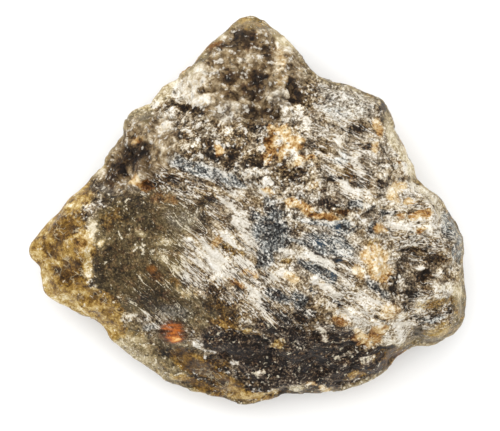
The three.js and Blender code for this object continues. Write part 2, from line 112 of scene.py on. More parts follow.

# Patches on the upper side, as (x, y, half length, half width, turn, tone), some with the strengths of
# other marks. Tone is how light (above 0) or dark (below 0) the stone is, white is how thickly bruises
# and pale flecks lie, glass is cleavage that shows as a smooth face, coarse is weathered and blurred
# grain, and the others are colours; that of the dark lower face also carries painted shade there, and
# the copper and blue flashes are painted sheen. Each comment names what the patches below it make up.
PATCHES = [
    # the broad lights and darks
    (23.2, -0.4, 5.4, 4, 0, 0.5), (18, -7.4, 3.4, 3.6, 0, 0.3), (17, -15.4, 6, 4, 0, 0.05),
    (15, 9.6, 8, 7, -20, 0.15), (8.6, -6, 9, 7, -20, 0.2), (5, 9.4, 3.6, 4.2, 0, -0.2),
    (-26.4, -6, 6, 9, 0, -0.25), (-6.4, -3.6, 5, 4, -30, 0.2), (-5, -7, 4, 2.6, -30, 0.2),
    (-9, -22, 9, 3.4, -22, -0.35), (-8, 12.6, 3, 1, -35, -0.1), (21.6, 8.4, 1.8, 5.4, 17, 0.8),
    (20.6, -17, 1.8, 1.4, 0, 0.5), (28.2, -11.8, 2.4, 1, 0, 0.5), (25, -3.6, 3, 1.2, 0, 0.35),
    (-20.4, 2.6, 2.4, 2, 30, -0.35, {"glass": 0.4}), (16, 1.4, 2.4, 1.4, -10, 0.8),
    (6.2, 7.8, 1.2, 1.2, 0, 0.8), (-21.2, -9, 1, 3, 8, -0.3), (24.8, -11.2, 1.4, 1, 0, 0.1),
    (0.6, -12.4, 1.2, 1.4, 30, 0.4), (7, -15, 4.6, 1.1, 0, -0.9), (13, -15.4, 1.2, 1, 0, -0.7),
    (17.2, -15.8, 2.6, 0.9, 0, 0.3), (24.8, 0.2, 1.8, 1.2, 0, -0.4), (-4, -21.2, 3, 1.4, -20, -0.5),
    (3, -26.4, 2, 0.8, 0, -0.4), (-12, 11.6, 2.2, 1.2, 20, 0.6), (-12.6, 16.2, 5, 1.6, 45, 0.8),
    (6.5, -5.5, 9.5, 7.5, -20, 0, {"slate": 0.3}), (5.2, 9, 2.8, 3.6, 0, 0.25, {"ochre": 0.3}),
    (7, 11.2, 1.4, 1.2, 0, 0.5), (11.4, -13, 1.6, 0.9, -30, 0.5), (14.4, -1.6, 3.4, 1, -5, 0.5),
    (18.8, 0.4, 1.6, 1.1, 0, 0.6), (-15.2, 6.2, 1.6, 1.3, 0, -0.5), (-12.4, 4, 2.2, 1, 0, -0.4),
    (-7, 15.6, 2.6, 2, 0, 0.35), (-9, 11, 5, 2.8, 0, 0.1), (0.6, -24.6, 3.2, 1.2, 0, -0.6),
    (8.6, -16.4, 3.2, 1.2, -20, -0.6), (2.4, -13.6, 2, 0.9, -45, -0.5), (-9, -10, 1.8, 1.3, 0, -0.6),
    (15, -9.6, 1.6, 1, 0, -0.4), (20.6, -9.4, 1.6, 1, 0, -0.5), (-11.6, 3.6, 2.6, 1.2, 0, -0.3),
    (-9, -6, 1.4, 1, 0, -0.3), (7, 14.4, 1.2, 0.8, 0, -0.4), (-14.6, -21.6, 4.4, 1.1, -36, 0.35),
    (2.6, 2, 2.4, 1.6, 0, 0.4), (3.4, 20.6, 1, 1.4, 0, 0.7), (4.8, 19, 0.8, 0.8, 0, -0.5),
    (-11, 11.4, 1.4, 1.2, 0, 0.5), (-20.8, 5.4, 1.4, 1.6, 40, 0.7), (9, -9.2, 1, 0.8, 0, -0.6),
    (8.4, -13.8, 1.6, 0.9, 0, -0.5), (12.4, -2.2, 1.2, 0.7, 0, -0.5), (10.8, -0.4, 1.6, 0.7, 0, 0.6),
    (19.6, 5.2, 1.8, 1.4, 0, 0.45), (11.6, -12.8, 1.4, 0.8, 0, 0.3), (-12, -6.6, 1.6, 1, 0, 0.5),
    (7, -18.4, 2, 0.9, 0, 0.4), (29.6, -11.8, 1.2, 1.2, 0, 0.6), (26.6, -9, 1.4, 0.8, 0, 0.4),
    (5, -22.4, 13, 4, 0, -0.3), (20.4, -21.4, 3, 1.6, 30, -0.4), (7.4, -26.4, 5.6, 1.1, 2, -0.9),
    (-5, -25.6, 6, 1.6, -14, -0.5), (13, -22, 3.2, 1.2, 10, -0.5), (19.6, -21.2, 2.4, 1.2, 30, -0.5),
    (16.4, -15.6, 4.2, 3.2, 0, 0.1), (5.3, 9.2, 3, 4.4, 0, -0.12), (-3.6, -17, 4.4, 2.6, -20, 0.1),
    (23.6, -10.2, 3.2, 4.2, 0, 0.07), (22.6, 0.4, 3.8, 3.2, 0, -0.07),
    # the point
    (-1, 19.5, 11, 9, 0, 0, {"coarse": 1.3}), (-0.6, 24.6, 2.3, 1.5, 0, -1),
    (-2.2, 23.3, 1.7, 1, 30, -0.5), (-4.4, 22.9, 1.3, 0.7, 20, -0.5, {"ochre": 0.8}),
    (-3.2, 24.3, 1.3, 0.6, 40, 0.5), (-6.8, 21.2, 3.6, 0.9, 47, 0, {"glass": 0.8}),
    (1, 26.2, 2.6, 0.9, -8, 0, {"glass": 0.8, "honey": 0.5}),
    (4.6, 24.5, 1.9, 0.8, -40, 0.4, {"glass": 0.9}), (5.2, 23.2, 1.6, 1, -40, 0.9),
    (2.4, 22.6, 0.8, 1.2, 0, -0.9), (2.5, 20.7, 1, 0.9, 0, -0.6), (1.4, 19.1, 1.9, 1, 0, -0.9),
    (0.8, 17.1, 1.9, 1.4, 0, -0.9), (-2.9, 19, 1.8, 1.3, 0, -0.7), (-1.8, 16.1, 1.4, 0.8, 0, -0.5),
    (0.2, 21.3, 0.7, 1.4, 0, 0.2), (4.4, 21.4, 0.8, 2.2, 5, 0.6, {"ochre": 0.6}),
    (-4.6, 21, 1.4, 1.2, 0, -0.1), (2, 13.6, 2.4, 0.8, 0, -0.7), (1, 11.8, 0.8, 1.4, 0, -0.4),
    (4.6, 18, 0.8, 1.4, 0, 0.3, {"ochre": 0.4}), (-8.2, 17.6, 3.4, 1.8, 38, 0.9, {"white": 0.3}),
    (-6.2, 15.6, 2.8, 1.1, 10, 0.9, {"white": 0.4}), (-6.4, 19.7, 1.3, 1.4, 40, 0.5),
    (-9, 14.4, 2.9, 0.8, -20, -1.2), (-6.3, 16.9, 1.1, 0.5, 0, -0.6),
    (-11.6, 16.2, 2, 1, 45, 0.1, {"glass": 0.7}), (-11.2, 13.6, 1.9, 0.9, 10, 0.5),
    (-14.3, 13.2, 1.8, 1.4, 40, -0.1, {"glass": 0.9}), (-3, 13.7, 2.8, 2, 0, 0.35, {"slate": 0.45}),
    (4.6, 15.2, 1.9, 1.9, 0, 0.15, {"slate": 0.5}), (6.4, 13.2, 2.7, 1.1, 0, 0.55, {"white": 0.4}),
    (8.3, 11.8, 0.8, 1.4, 0, 0.8, {"white": 0.3}),
    # a narrow pit, its dark painted shade
    (6.5, 16.4, 2.7, 0.75, -64, -1.9, {"white": -1}), (4.6, 19.6, 1.2, 0.6, -70, 0.3),
    # the shoulder on the left
    (-15.5, 8, 8, 5, 40, 0, {"coarse": 1.2}), (-15.6, 8.2, 2.7, 1.7, 20, -1.2),
    (-18.5, 5.9, 2.3, 1.6, 45, -1.2), (-19.6, 3.1, 1.8, 0.9, -20, 0.1, {"slate": 0.5}),
    (-15.9, 4.1, 1.2, 0.8, -20, 0.5, {"ochre": 1.2}), (-14.3, 3.1, 1.3, 0.8, -30, -0.6, {"ochre": 1.2}),
    (-15.5, 10.2, 0.8, 0.7, 0, 0.2, {"ochre": 0.9}), (-9.4, 10.3, 1.1, 0.8, 0, -0.6),
    (-8.6, 8.9, 1.2, 0.8, 0, 0.5), (-11.1, 8.7, 1.2, 0.8, 0, 0.4), (-12.6, 11.4, 1.6, 0.9, 0, -0.2),
    (-6, 11.4, 1.6, 1.2, 0, 0.3, {"slate": 0.4}), (-2.9, 11.2, 0.9, 0.7, 20, 0.9),
    # the knot and the broken ground beside it
    (4.5, 11, 1.5, 1.7, 0, 0.6, {"ochre": 1.2}), (3.4, 8.9, 0.9, 1.5, 10, -0.2, {"ochre": 1.3}),
    (4.4, 9.4, 0.8, 0.9, 0, 0.8), (6.4, 9.6, 1.8, 1.4, 0, 0.5, {"ochre": 1.1}),
    (7.3, 6.8, 1.2, 1, 40, 0.8, {"ochre": 0.9}), (2.6, 7.3, 1.1, 0.8, 30, 0.3, {"ochre": 1.1}),
    (5, 8, 1.2, 1.2, 0, 0.3, {"ochre": 0.9}), (9.2, 8.7, 1, 0.5, 0, -0.6),
    (8.8, 7.2, 0.7, 0.5, 0, 0, {"ochre": 1.2}), (7.6, 7.9, 0.6, 0.8, 0, -0.3),
    (4.6, 6.2, 0.9, 1.4, 0, -0.4, {"honey": 0.5}), (-4.2, 8.6, 0.6, 0.8, 0, 0.9, {"ochre": 1.4}),
    (-4, 7.6, 2.4, 0.7, -6, -1.1), (-5.6, 9.2, 1, 0.9, 0, -0.7), (-2.4, 8.4, 1.2, 0.8, -30, -0.9),
    (0.6, 6.9, 1.5, 0.9, 0, -1.4), (-1.2, 10, 1.2, 0.8, 0, -0.3), (0.4, 5.4, 1.8, 0.8, 0, 0.6),
    (3, 4.1, 1, 0.6, 0, 1.2, {"slate": 0.6, "white": 0.5}), (2.9, 2.7, 1.4, 0.9, 0, 0.9, {"ochre": 0.9}),
    (6.6, 5.2, 2.2, 0.9, 0, -0.5), (6.7, 3.2, 1, 0.6, 0, 0.6), (9, 3, 2, 0.8, 0, 0.6, {"ochre": 0.4}),
    (11.4, 4, 1.4, 0.8, 0, -0.5),
    # the shoulder on the right
    (14, 14.6, 5.8, 2.6, -18, 0.3, {"slate": 0.5}),
    (12.2, 13.2, 3.4, 1.4, -15, 0.4, {"slate": 0.4, "white": 0.3}), (18.8, 14.3, 0.9, 0.8, 0, -1.2),
    (15.3, 11.2, 1.8, 0.8, 0, -0.9), (16.7, 8.9, 0.9, 0.7, 0, -1.1), (11.4, 10.6, 1.6, 1.2, 0, 0.2),
    (13, 9, 0.9, 0.7, 0, 1.1, {"ochre": 0.6}), (13.4, 7.5, 0.8, 0.6, 0, 0.8, {"slate": 1, "white": 0.4}),
    (12.6, 6.6, 1.6, 0.7, 0, 0, {"slate": 1, "blue_sheen": 0.5}),
    (15.4, 5.9, 1.9, 0.45, -40, 0.6, {"white": 1.2}), (13.6, 3.3, 2.4, 0.6, -38, 0.6, {"white": 1.2}),
    (15.4, 7.2, 1.4, 1, -30, 0.5, {"white": 0.5}), (14, 5, 1.4, 0.55, -32, -1.1, {"honey": 0.5}),
    (16.9, 4.6, 0.9, 0.6, -30, -0.7), (12.4, 4.6, 1.2, 0.5, 0, -1),
    (18.4, 11.6, 0.9, 1.6, 10, 0.3, {"ochre": 1.1}), (17.9, 9, 0.9, 1.2, 0, 0.4, {"ochre": 0.9}),
    (20.3, 11, 0.8, 3.2, 14, 0.1, {"glass": 0.9}), (22, 7.8, 0.7, 1.5, 25, 0.8, {"glass": 0.6}),
    (21.3, 6.8, 0.8, 0.5, 0, -1, {"ochre": 0.7}), (22.6, 5.4, 1, 0.9, 0, 0.7, {"glass": 0.4}),
    (18.9, 3.3, 1.2, 1, 0, -0.8), (19.2, 6.2, 1.4, 1.6, 0, -0.2), (22, 4.3, 1, 0.35, 0, -0.6),
    # the slate band
    (-7, 5.8, 5.4, 1.3, -22, -0.1, {"slate": 1.2}),
    (-4.2, 5.4, 2.6, 0.6, -25, 0.6, {"white": 0.8, "slate": 0.6}),
    (-2.2, 3.8, 2.4, 0.9, -25, 0, {"slate": 1, "blue_sheen": 0.4}),
    (-8.8, 6.4, 2.4, 0.5, -22, 0.3, {"white": 0.6}), (-10, 4, 4, 1, -10, -0.5),
    (-4.4, 3.4, 2.6, 0.5, -24, -0.3),
    # the smooth face
    (-15.6, -7.4, 7.4, 8.2, -15, -0.35, {"glass": 1.6}),
    (-11.5, -0.4, 7.4, 3.6, -12, -0.2, {"glass": 0.7, "white": 0.45}),
    (-9, -13.6, 8, 3.6, -25, -0.2, {"glass": 0.8, "white": 0.1}),
    (-9.4, -5, 5.4, 5, -35, 0, {"white": 0.4, "glass": 0.2}), (-19, -8, 3.6, 4.6, 0, 0, {"glass": 0.6}),
    (-9, -1.2, 3.4, 2.2, -10, 0.15, {"slate": 0.45}), (-17, 1, 3.6, 1.4, -10, -0.3, {"glass": 0.8}),
    (-11.6, 1.4, 2.4, 0.7, 0, -0.2, {"ochre": 0.45}), (-5.6, 1, 1.6, 1, 0, -0.5, {"glass": 0.5}),
    (-6.2, -1.2, 0.9, 1, 0, -0.5), (-18.8, -1.4, 2.6, 2.2, 0, -0.4, {"honey": 0.4, "glass": 1}),
    (-20.6, -2.6, 2.2, 3, 10, 0, {"glass": 0.9, "white": -0.4}), (-19.2, -7.6, 3.2, 3.2, 0, -0.15),
    (-15.2, -3.6, 1.2, 0.8, 0, 1.2), (-17.6, -3.5, 1.9, 1.1, 0, 0.1, {"white": 1}),
    (-11.4, -4.7, 1.9, 0.8, 0, 0.6, {"white": 0.4}), (-14.2, -5.4, 2.8, 0.8, -10, 0.2, {"white": 1.2}),
    (-13.6, -10.6, 2.6, 1.4, -30, 0, {"white": 0.7}), (-17.4, -12.2, 2.4, 1.4, -20, 0, {"white": 0.6}),
    (-11, -7.4, 2.4, 0.7, -25, 0.4, {"white": 0.9}), (-8.8, -9, 2.6, 0.9, -25, 0.3, {"white": 0.9}),
    (-13.3, -8.5, 0.8, 0.7, 0, -0.2, {"ochre": 1}), (-12.4, -9.5, 1.4, 0.9, -30, -0.4, {"ochre": 0.35}),
    (-10.4, -9.9, 1.4, 0.9, -20, 0, {"honey": 0.4}), (-8.3, -11.4, 2.4, 1.2, -20, 0.4, {"honey": 0.25}),
    (-12.4, -12.6, 3, 1.6, -10, -0.3), (-10.6, -14.3, 3.4, 1.6, -10, -0.1, {"slate": 0.6, "white": 0.3}),
    (-13.8, -16.6, 1.7, 0.9, 10, 0.2, {"slate": 0.7, "blue_sheen": 0.3}),
    (-16, -14.7, 1, 0.5, 40, 0.6, {"white": 0.9}),
    (-16.3, -16.8, 2.4, 1.6, -20, -0.1, {"glass": 0.6, "honey": 0.3}),
    (-10.4, -19.4, 5, 1.6, -14, 0.1, {"glass": 0.7}), (-6.8, -18.8, 1.1, 0.6, -30, 0.9, {"white": 0.7}),
    (-9.8, -19.1, 1.1, 0.4, 0, 0.6), (-10.8, -20.5, 2, 0.6, -20, -0.8),
    # the copper flash, a painted sheen
    (-10.6, -17.3, 2.9, 2.2, 2, 0, {"copper_sheen": 0.3}), (-10.5, -16.7, 2, 1, 2, 0, {"copper_sheen": 0.22}),
    (-10.2, -18.1, 1.7, 0.9, 2, 0, {"copper_sheen": 0.3}), (-10, -18.2, 0.9, 0.45, 2, 0, {"copper_sheen": 0.35}),
    (-10.4, -17.3, 2.8, 2, 0, -0.4),
    # the bruised and streaked middle
    (-4.9, -6.9, 2.6, 1.4, -30, 0.6, {"white": 1.3}), (-4, -8.8, 2.2, 1, -30, 0.5, {"white": 0.9}),
    (-7.8, -7.4, 1.9, 1.3, -30, 0.35, {"white": 0.5}), (-2, -4.9, 3.6, 0.9, -41, 0.7, {"white": 1.3}),
    (-1.2, -7.4, 3, 0.7, -30, 0.5, {"white": 1.1}), (-6.8, -5.1, 2.9, 0.45, -36, 0.5, {"white": 1.1}),
    (-0.9, -1.4, 1.6, 1.6, -60, 0.6, {"white": 1.1}), (-2.9, 0.6, 2.6, 0.5, -42, 0.5, {"white": 1.2}),
    (-3.4, 2.4, 3, 0.5, -28, 0.4, {"white": 0.9}), (-1.4, 2.2, 1.6, 1, -30, 0.5, {"white": 0.5}),
    (0.4, -3.8, 1, 2.4, 20, 0.5, {"white": 0.7}),
    (-4.5, -4.5, 0.8, 1.1, -20, -0.2, {"ochre": 0.8, "white": -0.4}),
    (-3.1, -5.7, 1.4, 0.7, -35, -0.2, {"honey": 0.6, "white": -0.2}),
    (-1.3, -6.3, 1.4, 0.6, -20, -0.4, {"honey": 0.6, "white": -0.2}),
    (0.2, -9.2, 1.6, 0.7, -30, 0.2, {"ochre": 1, "white": 0.4}),
    (-1.4, -10.6, 1.8, 0.6, -35, -0.3, {"ochre": 0.9}), (-4.4, -11.7, 1.9, 1, -40, -0.7),
    (-3.2, -14.6, 3.6, 1.5, -35, -0.6, {"honey": 0.5}), (-6.6, -3, 1.6, 0.9, -30, -0.5),
    (-3.4, -1.3, 1.6, 0.8, -30, -0.1), (0.4, -11.6, 3, 0.6, -50, 0.6, {"white": 1.1}),
    (2.6, -14.6, 2.4, 0.6, -42, 0.6, {"white": 1.1}), (3.5, -3.5, 3, 2.6, -45, -0.55, {"slate": 1.4}),
    (4.8, -2.8, 2.5, 0.8, -5, -0.5, {"slate": 0.6}), (2.2, -7, 1.5, 1.8, 0, -0.55, {"slate": 1.3}),
    (1.2, -0.9, 1, 0.7, 0, -0.7, {"slate": 0.9}), (4, -0.4, 2.2, 0.9, -20, -0.3, {"slate": 1}),
    (3.2, 1, 1.4, 0.8, 0, -0.3, {"slate": 0.8}), (3.6, -11.6, 1.7, 0.8, -20, -1, {"slate": 1.2}),
    (5.2, -12.4, 1.4, 0.7, -30, -0.7, {"slate": 1}), (7.4, -12.7, 1.4, 1.4, 0, -0.8, {"slate": 1.1}),
    (4.6, -14.6, 2.4, 0.7, -35, -0.6, {"slate": 0.6}), (4, -9.2, 1.6, 0.7, 20, 0.9, {"white": 1.2}),
    (6.4, -6.2, 2.6, 0.5, -14, 0.7, {"white": 1}),
    (5.9, -9.9, 1.7, 0.8, -32, 0.8, {"ochre": 1, "white": -0.5}),
    (5.4, -7.4, 1.1, 0.6, 0, -0.3, {"honey": 0.7}),
    (10.2, -7, 2.8, 0.6, -22, 0.7, {"white": 1.2, "slate": 0.6}),
    (9.8, -8.6, 3.4, 1, -30, -0.6, {"slate": 1.2}), (10.6, -10.5, 1.6, 0.8, -20, 0.7, {"white": 1}),
    (12.6, -11.8, 2.4, 0.45, -45, 0.6, {"white": 1.1}), (10.4, -4.9, 3, 1.4, -15, -0.3, {"slate": 1.2}),
    (13.4, -5.2, 2.6, 1.4, -30, -0.2, {"slate": 1.1}), (13, -2.4, 3, 1.4, -10, -0.2, {"slate": 1.1}),
    (14.6, -6.2, 2.6, 0.5, -36, 0.5, {"white": 0.9}), (11.2, -1.9, 1.8, 0.6, -5, 0.9, {"white": 0.6}),
    (6.8, -4.4, 1.8, 0.6, -20, 0.1, {"slate": 0.8}), (9, -1.8, 2.4, 0.6, -15, -0.2, {"slate": 0.8}),
    # The blue marks on this and the next three lines paint the stone's blue flash as sheen.
    (7.2, -3, 1.1, 0.6, 0, -0.6), (12, -9, 1.3, 0.6, -45, -0.4, {"blue_sheen": 1.2}),
    (10.3, -4.8, 1.6, 0.6, -15, -0.3, {"blue_sheen": 1.2}), (12.6, -2.5, 0.6, 1, 0, -0.4, {"blue_sheen": 1.2}),
    (12.9, -6.9, 0.9, 0.5, -20, -0.9, {"blue_sheen": 0.8}), (7, -7.3, 0.6, 0.8, 0, 0, {"blue_sheen": 1.2}),
    (9.2, -11.4, 0.8, 0.9, 0, 0, {"blue_sheen": 1.1}), (13, -12.5, 1.1, 0.45, -30, -0.8, {"blue_sheen": 1}),
    (6.7, 0.9, 1.5, 1, 0, 0.5, {"ochre": 1.4}), (8.1, 0.4, 1.4, 0.9, -20, -0.2, {"ochre": 1.7}),
    (10.6, -0.6, 2.6, 0.6, -10, -0.6, {"ochre": 1.7}), (11.4, 1.1, 1.8, 0.6, -5, -1, {"dark_face_and_shade": 0.8}),
    (13.2, -0.1, 1.6, 0.4, 0, -1, {"ochre": 0.8}), (15, 0.9, 1.1, 0.7, -10, -0.8, {"slate": 1}),
    (17.2, 0.2, 2, 0.5, -5, -0.5, {"slate": 0.6}), (9.4, 1.8, 1.6, 0.6, 0, 0.5),
    # the stepped end
    (21.2, 2.9, 1.5, 0.9, 20, 0.8, {"ochre": 1.1}), (23.7, 3, 1.7, 0.9, -25, 1.2, {"white": 0.4}),
    (20.6, 1.5, 0.9, 0.9, 0, 0.4, {"ochre": 1.2}), (22.9, 1, 1.2, 0.6, 0, 0.1, {"ochre": 1.4}),
    (25.6, 0.9, 1.4, 0.6, 0, 0.4), (24.2, -0.8, 1.8, 0.6, 0, -0.5, {"ochre": 1.6}),
    (21.5, -1, 1, 0.4, 0, -0.4, {"ochre": 1.3}), (19.6, -0.8, 1.1, 0.6, 0, -0.9, {"slate": 0.9}),
    (18.4, 1.6, 1.2, 0.6, 0, -0.4), (18.2, 2.6, 1.6, 0.5, -20, 0.5),
    (18.7, -3, 1.4, 0.9, 0, 0.4, {"ochre": 1.3}), (22.4, -2.5, 2.8, 0.9, 0, 1, {"white": 0.3}),
    (24.6, -3.2, 1.1, 0.45, 0, -0.3, {"ochre": 1.2}), (26.6, -2.6, 1.4, 1, 0, 0.5),
    (17.4, -2.6, 1, 1.4, 0, -0.4, {"slate": 0.8}), (28.4, -2, 1.8, 2.4, 10, -0.1, {"slate": 1.2}),
    # The dark strip at the end of this line and the darks of the next three lie in the hollow of the
    # step: its brown, darkened as painted shade.
    (24.6, -4.6, 4, 0.7, 0, -0.2, {"white": 0.3}), (23.8, -5.8, 3.6, 0.5, 0, -1.3, {"white": -0.4}),
    (26.4, -6.6, 2.6, 0.9, 0, -0.5), (24.7, -9.1, 1.9, 1.1, 0, -1.1), (23, -11.2, 1.1, 1.9, 0, -1.1),
    (22.4, -13.6, 1, 1, 0, -0.9), (20.7, -10.8, 1, 0.7, 0, -0.9), (21.6, -7.6, 1.2, 1.6, 0, -0.4),
    (25.2, -11, 1.2, 0.9, 0, -0.6), (24.2, -8.1, 0.8, 0.35, 0, 1.2),
    (17.7, -6.3, 2, 1.5, 0, 0.6, {"ochre": 1.3}), (18.4, -8.3, 1.8, 2, 0, 0.35, {"ochre": 1.6}),
    (15.4, -8.6, 1.4, 1, -40, 0.6, {"ochre": 0.9}), (17.6, -4.7, 1.1, 0.6, 0, -0.2, {"honey": 0.6}),
    (27.9, -10.8, 1.9, 1, 5, 1, {"white": 0.3, "glass": 0.4}), (29.2, -8.4, 1.2, 1, 0, 0.3),
    (26.9, -13.1, 3, 1, 0, -0.2, {"honey": 0.7, "glass": 0.6}),
    (24.3, -13.6, 0.9, 1.3, 0, 0.7, {"honey": 0.5}), (27.6, -14.6, 2.8, 0.4, 4, -0.9, {"honey": 0.5}),
    (26.6, -15.5, 2.2, 0.45, 0, 0.6, {"slate": 1.2}),
    (27.4, -16.9, 3, 0.9, 3, 0.2, {"honey": 0.5, "glass": 0.6}),
    (24.4, -16.9, 1.1, 0.7, 0, -0.7, {"glass": 0.5}), (22, -16.4, 1.1, 2.8, 0, 0.7, {"white": 0.5}),
    (29.8, -13, 0.8, 3.6, 0, 0, {"glass": 0.8}), (30, -5.4, 1.2, 3.4, 0, 0, {"slate": 1.1}),
    # the pale foot of the streaks
    (14.9, -14.4, 2.8, 1.1, -8, 0.5, {"white": 0.7}), (17.4, -12.4, 3.4, 1.6, -20, 0.45, {"white": 0.6}),
    (18.6, -16.9, 1.9, 1.2, 0, -0.1, {"ochre": 1.9}), (17, -18.3, 2.8, 1, -8, 0.3, {"ochre": 1.4}),
    (13.2, -15.2, 1.4, 0.8, 0, 0.6, {"ochre": 1}), (19.9, -14.4, 1.4, 1.6, 0, 0.4, {"ochre": 0.7}),
    (20.8, -18.6, 1.8, 0.8, -10, 1, {"white": 0.7}), (15.6, -17, 1.2, 0.6, -20, 0.4, {"ochre": 0.9}),
    (18.2, -10.9, 3.4, 0.8, -38, -0.3, {"slate": 0.9}), (14.2, -10.4, 1.6, 0.8, -20, 0.4, {"white": 0.5}),
    # the dark lower face: its own near-black brown, made darker still as painted shade where the face
    # turns down from the light
    (6.6, -20.4, 11.5, 3.6, -4, -1.1, {"dark_face_and_shade": 1.4, "glass": 0.1}),
    (12.8, -17.4, 3.4, 1.4, -15, -0.7, {"dark_face_and_shade": 1}), (4, -16.3, 3.8, 0.9, -4, -1, {"dark_face_and_shade": 1}),
    (-2.6, -19, 4.8, 1.9, -24, -0.9, {"dark_face_and_shade": 1.2, "glass": 0.2}),
    (14.4, -22.6, 5.4, 2.4, 20, -1, {"dark_face_and_shade": 0.9}), (1.5, -22.6, 3.4, 1.8, -10, -0.6, {"dark_face_and_shade": 1}),
    (18.4, -20, 3.4, 0.6, 8, -1.2), (6, -24.3, 6, 0.9, 0, -0.6, {"dark_face_and_shade": 1}),
    (19.4, -20.6, 2.6, 0.8, 24, -0.5, {"honey": 0.8}), (4.3, -19.1, 1.1, 1.5, 10, 0.5, {"honey": 0.5}),
    (7.2, -18.8, 1.4, 1.6, 0, 0.35, {"slate": 0.5}), (1.8, -23.2, 1, 0.8, 0, 1.9),
    (-1.8, -22, 1.5, 0.6, -40, 1.4), (3.3, -21.6, 0.7, 0.5, 0, 0.9), (16.6, -21.2, 1.4, 0.9, 0, 2.4),
    (10.4, -17.2, 1.3, 0.8, -50, 1.8, {"white": 0.7}), (4.2, -18.6, 1.5, 1.1, 0, 0.9, {"honey": 0.4}),
    (6.9, -19.5, 1.2, 1.6, -20, 0.7), (9.6, -22.4, 1.8, 0.8, -30, 0.6), (13.6, -20.4, 1.4, 0.8, 20, 0.6),
    (12.2, -20.8, 1, 0.7, -20, 0.8), (6.9, -25.5, 1.2, 0.6, 0, 1.5),
    (9.2, -25, 0.9, 0.5, 0, 0.8, {"ochre": 1}), (10.9, -25.6, 1, 0.6, 0, 1.3, {"ochre": 1}),
    (15.4, -23.5, 1.9, 0.9, 20, 0.4, {"honey": 1.2}), (0, -17.3, 1.8, 0.7, -10, 0.3, {"honey": 1}),
    (-3.2, -16.6, 2.6, 1.1, -30, -0.4, {"honey": 0.7}), (7.6, -22.6, 1.6, 0.8, 0, -0.3, {"blue_sheen": 0.25}),
    # the honey margin
    (-26.8, -6.6, 5.2, 10, 0, 0, {"honey": 1.6}), (-29, -6, 4, 12, 10, 0, {"honey": 0.9}),
    (-24.4, 1.6, 3.8, 2.4, 48, 0, {"honey": 1, "glass": 0.4}),
    (-22, -13.2, 5.4, 2.4, -24, 0, {"honey": 1.2}), (-26.4, -2.6, 2.6, 2, 40, -0.45),
    (-24.8, -8.2, 2.2, 1.6, 0, -0.4), (-26.4, -10.6, 3, 1.2, 0, -0.35), (-26.8, -5.4, 1.2, 1, 0, -0.4),
    (-29.2, -5.8, 1.3, 1.8, 0, 0.1, {"glass": 0.4}), (-25, -12.8, 3.8, 1.2, -28, 0.25, {"glass": 0.5}),
    (-28.6, -9.4, 1, 2.6, 12, 0.2, {"glass": 0.3}), (-27.6, -1.6, 2.4, 0.8, 47, 0.1, {"glass": 0.3}),
    (-24.2, 0.2, 1.8, 0.5, 10, 0.5), (-22, 1.8, 1.8, 1.4, 20, 0.15),
    (-23.2, -4.6, 1.4, 1.4, 0, 0.2, {"ochre": 0.5}), (-23.6, -2.9, 1.2, 1, 0, 0.35),
    # the pale wall between it and the smooth face
    (-22, -2, 1.4, 1, -30, 0.9, {"glass": 0.5}),
    (-22.4, -4.4, 0.7, 2, 10, 0.6, {"honey": 0.6, "glass": 0.3}),
    (-22.9, -7.6, 0.75, 2.8, 4, 1.2, {"glass": 0.2}), (-22.3, -3.2, 0.8, 1.6, -8, 0.9, {"white": 0.3}),
    (-28.2, -8, 1.6, 1.2, 0, 0.5), (-25, -6.6, 1.2, 0.8, 0, 0.5), (-30.4, -5.8, 1.6, 2.2, 0, 0.5),
    (-29, -10.8, 1.6, 3.2, 35, 0.4), (-25.6, -13.6, 4.2, 1.2, -26, 0.4), (-28.4, -2.2, 3.4, 1, 48, 0.35),
    (-20.8, -4.6, 1.2, 0.7, 20, 1, {"honey": 0.6}), (-24.8, -3.5, 1.5, 0.5, 25, 0.6, {"white": 0.6}),
    (-26.6, -8, 1, 0.6, 0, 0.6),
    # the olive rim below, its own olive gold, paler along its thin edge as painted light shining through
    # it
    (-15.6, -19.6, 4.8, 2.2, -38, 0.6, {"glass": 1.3}),
    (-11, -22.6, 4.4, 1.8, -30, 0.45, {"glass": 1.2, "honey": 0.2}),
    (-19.6, -15.8, 2.2, 1.8, -50, 0.2, {"honey": 0.9, "glass": 0.6}),
    (-18.2, -17.2, 1, 1, 0, -0.4, {"honey": 0.8}),
    (-7.4, -22, 4.6, 1.7, -26, -0.6, {"honey": 1.3, "glass": 0.4}),
    (-3.6, -24.2, 4, 1, -22, -0.1, {"honey": 1.3}), (-1.6, -26, 4.2, 1, -4, 0.3, {"honey": 1.4}),
    (-7.6, -24.6, 3.6, 0.8, -18, 0.2, {"honey": 0.9, "glass": 0.7}),
    (2.8, -26.2, 2.2, 0.8, 8, 0.5, {"honey": 0.7}), (-4.2, -21.6, 2, 0.7, -40, -0.5, {"honey": 0.9}),
]

# ---------- noise


def hashed(cells, seed):
    """A repeatable number from 0 to 1 for each row of whole numbers."""
    i, j, k = (cells[..., axis].astype(np.int64) for axis in range(3))
    h = (i * 374761393 + j * 668265263 + k * 1442695041 + seed * 974634277) & 0xFFFFFFFF
    h = ((h ^ (h >> 13)) * 1274126177) & 0xFFFFFFFF
    h = ((h ^ (h >> 16)) * 2246822519) & 0xFFFFFFFF
    return (h ^ (h >> 13)) / 2**32


def noise(points, size, seed):
    """Smooth noise from -1 to 1, whose lumps are about size across."""
    scaled = points / size
    cell = np.floor(scaled)
    t = scaled - cell
    t = t * t * (3 - 2 * t)
    total = np.zeros(len(points))
    for corner in np.ndindex(2, 2, 2):
        weight = np.prod(np.where(corner, t, 1 - t), axis=1)
        total += weight * hashed(cell + corner, seed)
    return 2 * total - 1


def layered_noise(points, size, seed, layers=4, fade=0.55):
    """Noise with finer layers on it, each half the size of the one before."""
    return sum(fade**n * noise(points, size / 2**n, seed + n) for n in range(layers))


